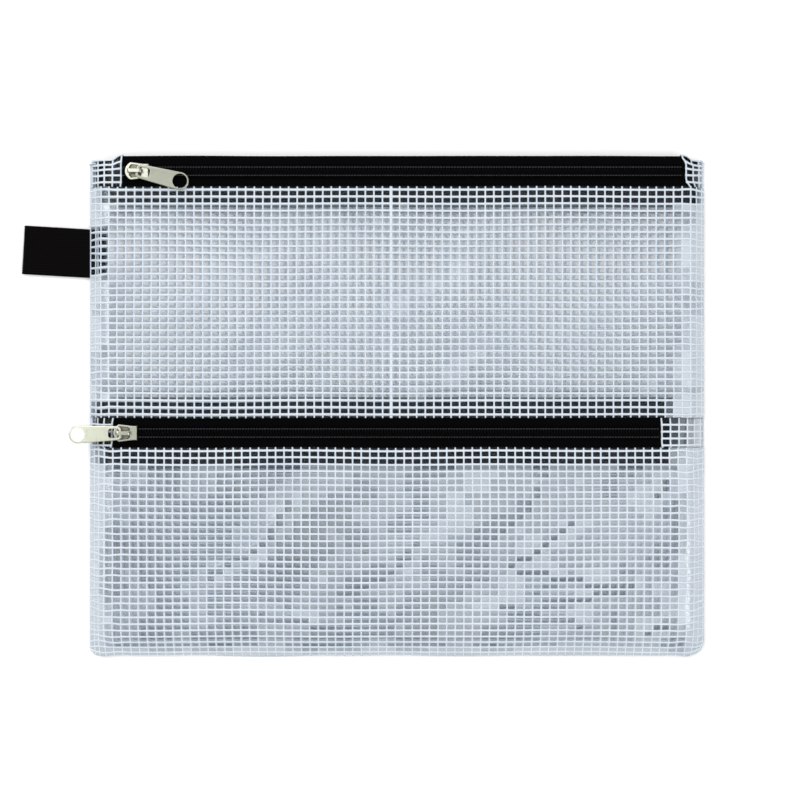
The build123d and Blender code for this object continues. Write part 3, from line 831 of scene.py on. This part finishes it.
def make_stitches(name, place, width, t):
    """A row of stitches along a sheet at the distance t."""
    starts = np.arange(seam_in, width - seam_in - stitch_long, stitch_long + stitch_gap)
    share = np.array([0, 0.12, 0.5, 0.88, 1.0])
    rise = np.array([-0.15, 0.2, 0.3, 0.2, -0.15])
    s = starts[:, None] + share[None] * stitch_long
    points, ups = stand(place, s, np.full_like(s, t))
    points = points + ups * rise[None, :, None]
    return make_tubes(name, "white sewing thread", points, ups, stitch_wide, stitch_high, 5)


stitch_rows = {"front_upper": [], "front_lower": []}
for panel, name, place, width, t in (
    ("front_upper", "top", lay_upper, width_upper, length_upper - hem_fold - stitch_in),
    ("front_upper", "mid_upper", lay_upper, width_upper, hem_fold + stitch_in),
    ("front_lower", "mid_lower", lay_lower, width_lower, length_lower - hem_fold - stitch_in),
):
    stitch_rows[panel].append(make_stitches(name + "_hem_stitches", place, width, t))
print("stitch rows", {panel: len(made) for panel, made in stitch_rows.items()})

# %% [markdown]

for name, (film, scrim, size) in sheets.items():
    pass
print("declared", len(sheets), "film sheets")

# %% [markdown]
# ## The zips
# When a slider runs to its open end, the chain behind it parts. That is a wave of bending along two
# coils, which no joint of the frame can give. Here each half only gets a mesh of its own, and where its
# slider's mouth ends at full travel is worked out. The half doesn't draw back, so the chain stays shut.

# %% parting of the chain
# The slider's mouth lies this far behind its nose, and the sewn edge this far from the middle line
mouth, sewn_edge = 4, 2.0


def part_chain(piece, zip_name):
    """Give a half of a zip a mesh of its own. It does not draw back as its slider opens it."""
    travel = next(j["range_m"][1] for j in frame["joints"] if j["name"] == zip_name + "_slide")
    front = span(zip_name + "_slider")[0][0] + mouth + travel / MM
    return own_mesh(piece)


# %% [markdown]
# A zip's two tapes lie edge to edge under the coils. Three are flat, and the top zip's upper one bends
# down over the wallet's top edge. All go down into the side seams under the end tabs, so that no cut end
# shows.

# %% tapes
seam_reach = half_width - 3
tape_thick, tape_gap, seam_slope, lowest = 0.56, 0.04, 0.95, 0.8
level, edge = (tape_low + tape_top) / 2, half_height + 0.05
for zip_name, line_y in zip_line.items():
    for half in ("upper", "lower"):
        node = f"{zip_name}_{half}_tape"
        low, high = span(node)
        first = line_y + tape_gap if half == "upper" else low[1]
        last = high[1] if half == "upper" else line_y - tape_gap
        rows = [(y, level) for y in (first, first + 3, last - 3, last)]
        if node == "top_zip_upper_tape":
            rows = [(y, level) for y in (first, first + 2, edge - 1.6, edge)]
            rows += [(edge, z) for z in (5.6, 3, 1.4, 0.6)]
        tape_length, along_tape = flow(rows)

        def lay_tape(s, t):
            """A tape, very slightly wavy, that goes down into the side seams at its ends."""
            y, z = np.moveaxis(along_tape(t), -1, 0)
            z = np.maximum(z - seam_slope * np.maximum(np.abs(s) - tape_end, 0), lowest)
            y = droop(s, y + 0.12 * ripple(s * 1.7, y, 2.0))
            return np.stack([s + 0 * y, y, z + 0.05 * ripple(s * 2, y, 4.0)], -1)

        columns, rows = np.linspace(-seam_reach, seam_reach, 100), np.linspace(0, tape_length, 16)
        piece = make_film(node + "_cloth", lay_tape, columns, rows, [tape], tape_thick, slot="zip_tape")
        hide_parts(node)
        part_chain(piece, zip_name)
        print(f"{piece.name} {tape_length:.1f} mm wide")

# %% [markdown]
# A coil is one nylon wire, wound flat round a cord and sewn to the tape's edge, with its turns between
# those of the other half. Separate rings would look alike from above, but one wound wire is what shows
# where the chain parts. The spacing of 1.25 mm is measured in the photograph, from the row of stitches.

# %% coils, cords and the stitches over them
coil_pitch, wire, wire_gap = 1.25, 0.5, 0.03
coil_top = span("top_zip_upper_coil")[1][2]
low_wire = tape_top + wire / 2 + wire_gap
wire_rise = coil_top - wire / 2 - low_wire
# One turn: its share of the pitch, the distance from the middle line, and the share of the coil's height
turn_shape = [
    (0.14, 2.1, 0), (0.15, 0.9, 0), (0.17, -0.25, 0.08), (0.19, -0.55, 0.5), (0.24, -0.3, 0.92),
    (0.46, 0.5, 1), (0.72, 1.4, 1), (0.96, 2.15, 0.94), (1.06, 2.44, 0.5),
]
cord_step, cord_twist, cord_wide, cord_flat = 0.9, 2.4, 0.86, 0.7
seam_off, seam_start, seam_wide, seam_high = 1.85, 0.4, 0.34, 0.26
stitch_along, stitch_hump = np.array([[0, 0.12, 0.4, 0.68, 0.8]]), [-0.3, 0.02, 0.1, 0.02, -0.3]
tab_gap, spare = 0.3, 0.8
for zip_name, line_y in zip_line.items():
    start = span(zip_name + "_left_tab")[1][0] + tab_gap
    end = span(zip_name + "_right_tab")[0][0] - tab_gap
    turns = int((end - start - spare) / coil_pitch)
    for half, way, shift in (("upper", 1, 0.0), ("lower", -1, 0.5)):
        named = f"{zip_name}_{half}_"
        turn = [(u, line_y + way * y, low_wire + rise * wire_rise) for u, y, rise in turn_shape]
        winding = [(start + (k + shift + u) * coil_pitch, y, z) for k in range(turns) for u, y, z in turn]
        winding = np.array([winding])
        called = (named + "coil_wire", "nylon monofilament")
        coil = make_tubes(*called, winding, (1.0, 0.0, 0.0), wire, wire, slot="zip_coil")
        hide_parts(named + "coil")

        cord_low, cord_high = span(named + "cord")
        steps = np.arange(cord_low[0], cord_high[0], cord_step)
        middle = (cord_low + cord_high) / 2
        core = np.stack([steps, np.full_like(steps, middle[1]), np.full_like(steps, middle[2])], -1)[None]
        lay = steps[None] * cord_twist
        ups = np.stack([np.zeros_like(lay), np.sin(lay), np.cos(lay)], -1)
        called = (named + "filler", "polyester filler cord")
        cord = make_tubes(*called, core, ups, cord_wide, cord_flat, 8, "coil_cord")
        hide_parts(named + "cord")

        stitch = start + seam_start + np.arange(turns)[:, None] * coil_pitch + stitch_along
        hump = np.broadcast_to(stitch_hump, stitch.shape)
        seam = np.stack([stitch, np.full_like(stitch, line_y + way * seam_off), coil_top + hump], -1)
        called = (named + "coil_stitches", "black sewing thread")
        row = make_tubes(*called, seam, (0.0, 0.0, 1.0), seam_wide, seam_high, slot="zip_tape")
        for piece in (coil, cord, row):
            part_chain(piece, zip_name)
    print(zip_name, "coils of", turns, "turns")

# %% [markdown]
# The sliders are rigid castings. A real one's roof is dished on both sides of the bail, to save metal,
# where the frame's solid is plain. So each slider is a copy of its solid with two tapering pockets cut
# by a Boolean modifier. Setting in faces would be quicker, but the roof is too uneven for it.

# %% pockets in a slider
# The pocket's outline on one side: distance from the nose, and from the middle line
pocket = np.array([(1.7, 1.0), (1.7, 1.9), (2.8, 3.1), (6.6, 2.7), (7.6, 2.0), (7.6, 1.0)])
pocket_depth, floor_share, block_over = 0.45, 0.72, 0.05


def link_solid(builder, name):
    """An object of the scene from a finished bmesh."""
    mesh = bpy.data.meshes.new(name)
    builder.to_mesh(mesh)
    builder.free()
    return add_object(name, mesh)


def pocket_blocks(tip, roof_level):
    """Two tapering blocks that cut a slider's pockets, with the second material, the painted pocket shade,
    on them.
    """
    block = bmesh.new()
    for way in (1, -1):
        corners = []
        for share, height in ((1.0, roof_level + block_over), (floor_share, roof_level - pocket_depth)):
            for point in tip + (pocket.mean(0) + (pocket - pocket.mean(0)) * share) * (1, way):
                corners.append(block.verts.new((*point * MM, height * MM)))
        bmesh.ops.convex_hull(block, input=corners)
    bmesh.ops.recalc_face_normals(block, faces=block.faces)
    for face in block.faces:
        face.material_index = 1
    return link_solid(block, "pocket_blocks")


print("pockets", pocket_depth, "mm deep")

# %% [markdown]
# The copy comes as many small triangles. They are joined and the flat faces cleared first, so that the
# cut is clean. A bevel then leaves the edges as soft as tumbling does.

# %% sliders
weld_gap, roof_area, sharp = 0.002 * MM, 15 * MM * MM, math.radians(35)
for zip_name, line_y in zip_line.items():
    solid = bmesh.new()
    solid.from_mesh(frame["nodes"][zip_name + "_slider"].data)
    bmesh.ops.remove_doubles(solid, verts=solid.verts, dist=weld_gap)
    bmesh.ops.dissolve_limit(solid, angle_limit=math.radians(1), verts=solid.verts, edges=solid.edges)
    roofs = [face for face in solid.faces if face.normal.z > 0.999 and face.calc_area() > roof_area]
    roof_level = max(face.calc_center_median().z for face in roofs) / MM
    casting = link_solid(solid, zip_name + "_slider_casting")
    casting.data.materials.append(nickel)
    casting.data.materials.append(pocket_shade_metal)

    cutter = pocket_blocks(np.array([span(zip_name + "_slider")[0][0], line_y]), roof_level)
    cut = casting.modifiers.new("pockets", "BOOLEAN")
    cut.object, cut.operation, cut.solver = cutter, "DIFFERENCE", "EXACT"
    dished = bpy.data.meshes.new_from_object(casting.evaluated_get(bpy.context.evaluated_depsgraph_get()))
    casting.modifiers.clear()
    casting.data = dished
    bpy.data.objects.remove(cutter)

    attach(casting, zip_name.split("_")[0] + "_slider")
    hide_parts(zip_name + "_slider")
    edges = casting.modifiers.new("tumbled edges", "BEVEL")
    edges.width, edges.segments, edges.angle_limit = 0.14 * MM, 2, sharp
    print(casting.name, "of", len(dished.polygons), "faces")

# %% [markdown]
# The frame's pulls have the right shape and stay, with the plated finish. Modifiers join the facets,
# clear the seams inside flat faces and round the edges, and the frame's mesh stays as it is.

# %% pulls
for zip_name in zip_line:
    pull = frame["nodes"][zip_name + "_pull"]
    pull.data.materials.clear()
    pull.data.materials.append(nickel)
    weld = pull.modifiers.new("join the facets", "WELD")
    weld.merge_threshold = weld_gap
    flats = pull.modifiers.new("clear the flat faces", "DECIMATE")
    flats.decimate_type, flats.angle_limit = "DISSOLVE", math.radians(2)
    edges = pull.modifiers.new("tumbled edges", "BEVEL")
    edges.width, edges.segments, edges.angle_limit = 0.22 * MM, 3, sharp
print("pulls plated")

# %% [markdown]
# ## The label
# The label is a ribbon folded in half, its two ends sewn into the left seam. It is one strip that goes
# out along the table, turns at the fold and comes back on top of itself, a little askew. It bends at the
# seam's edge, and it rides on no body.

# %% label
flag_low, flag_high = span("label_flag")
label_turn = math.radians(3.3)
label_thick, bend_half = 0.24, 0.9
hinge_x, label_level = -half_width - 0.6, (flag_low[2] + flag_high[2]) / 2
fold_x = hinge_x - ((hinge_x - flag_low[0]) / math.cos(label_turn) - 0.6)
strip = [(sewn_high[0], -0.16), (-136, -0.16), (hinge_x, -0.16), (-148, -0.2), (-158, -0.24)]
strip += [(fold_x + 2, -0.2), (fold_x - 0.15, -0.2), (fold_x - 0.15, 0.2), (fold_x + 2, 0.2)]
strip += [(-158, 0.26), (-148, 0.2), (hinge_x, 0.16), (-136, 0.16), (sewn_high[0], 0.16)]
label_length, along_label = flow(strip)


def lay_label(s, t):
    """The folded ribbon: s runs up its width, t from one sewn end to the other."""
    x, z = np.moveaxis(along_label(t), -1, 0)
    out = np.minimum(x - hinge_x, 0)
    y = label_y + s - out * math.tan(label_turn)
    askew = s * math.tan(label_turn) * (out < 0) * np.clip(-out / 8, 0, 1)
    waist = 0.12 * np.sin(out / 4.1 + s * 0.3)
    return np.stack([x + askew, y, label_level + z + 0.4 * waist * (out < 0)], -1)


columns, rows = np.linspace(-label_half, label_half, 20), np.linspace(0, label_length, 90)
loose_piece = {"slot": "label_ribbon", "body": None}
label = make_film("label_ribbon", lay_label, columns, rows, [ribbon], label_thick, **loose_piece)
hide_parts("label_sewn_end", "label_flag")
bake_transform(label)
print("label strip", round(label_length, 1), "mm long before folding")

# %% [markdown]
# ## Floor and light
# The wallet lies on a plain white table. What the camera sees of it, straight, mirrored or through the
# film, is lifted to white by a faint glow that lights nothing else, and its shadow stays.

# %% table
table_half, table_level, table_glow = 8.0, -0.2 * MM, 0.09
table_mesh = bpy.data.meshes.new("table")
ways = ((-1, -1), (1, -1), (1, 1), (-1, 1))
table_mesh.from_pydata([(x * table_half, y * table_half, table_level) for x, y in ways], [], [(0, 1, 2, 3)])
table = add_object("table", table_mesh)
matt = {"Base Color": linear("#FFFFFF"), "Roughness": 0.9, "Emission Color": linear("#FFFFFF")}
white, shader, _ = make_material("white table", matt)
table_mesh.materials.append(white)
seen = add_node(white, "ShaderNodeLightPath", {}).outputs
either = seen["Is Camera Ray"]
for way_seen in ("Is Glossy Ray", "Is Transmission Ray"):
    both = {0: either, 1: seen[way_seen]}
    either = add_node(white, "ShaderNodeMath", {"operation": "MAXIMUM"}, both).outputs[0]
glow = add_node(white, "ShaderNodeMath", {"operation": "MULTIPLY", 1: table_glow}, {0: either})
white.node_tree.links.new(glow.outputs[0], shader.inputs["Emission Strength"])
print("table of", 2 * table_half, "m")

# %% [markdown]
# Soft light comes from a large panel above to the left, a smaller one to the right, and a surround that
# is dim at the horizon and bright overhead. One strength all round would make the metal's sides as
# bright as its tops. Together they give the level at which a colour renders as it is written.

# %% surround and lamps
horizon, overhead = 0.28, 0.9
world = bpy.data.worlds.new("surround")
bpy.context.scene.world = world
world.use_nodes = True
background = world.node_tree.nodes["Background"]
background.inputs["Color"].default_value = linear("#FFFFFF")
way_out = add_node(world, "ShaderNodeTexCoord", {}).outputs["Generated"]
height = add_node(world, "ShaderNodeSeparateXYZ", {}, {0: way_out}).outputs["Z"]
rise = add_node(world, "ShaderNodeMapRange", {"To Min": horizon, "To Max": overhead}, {"Value": height})
world.node_tree.links.new(rise.outputs["Result"], background.inputs["Strength"])
for name, place, size, power in (
    ("left panel", (-0.7, 0.55, 1.3), 1.0, 9.6),
    ("right panel", (0.9, -0.4, 1.1), 0.6, 3.6),
):
    lamp_data = bpy.data.lights.new(name, "AREA")
    lamp_data.size, lamp_data.energy = size, power
    lamp = add_object(name, lamp_data)
    lamp.location = place
    lamp.rotation_euler = (-lamp.location).to_track_quat("-Z", "Y").to_euler()
    print(name, "of", power, "W")
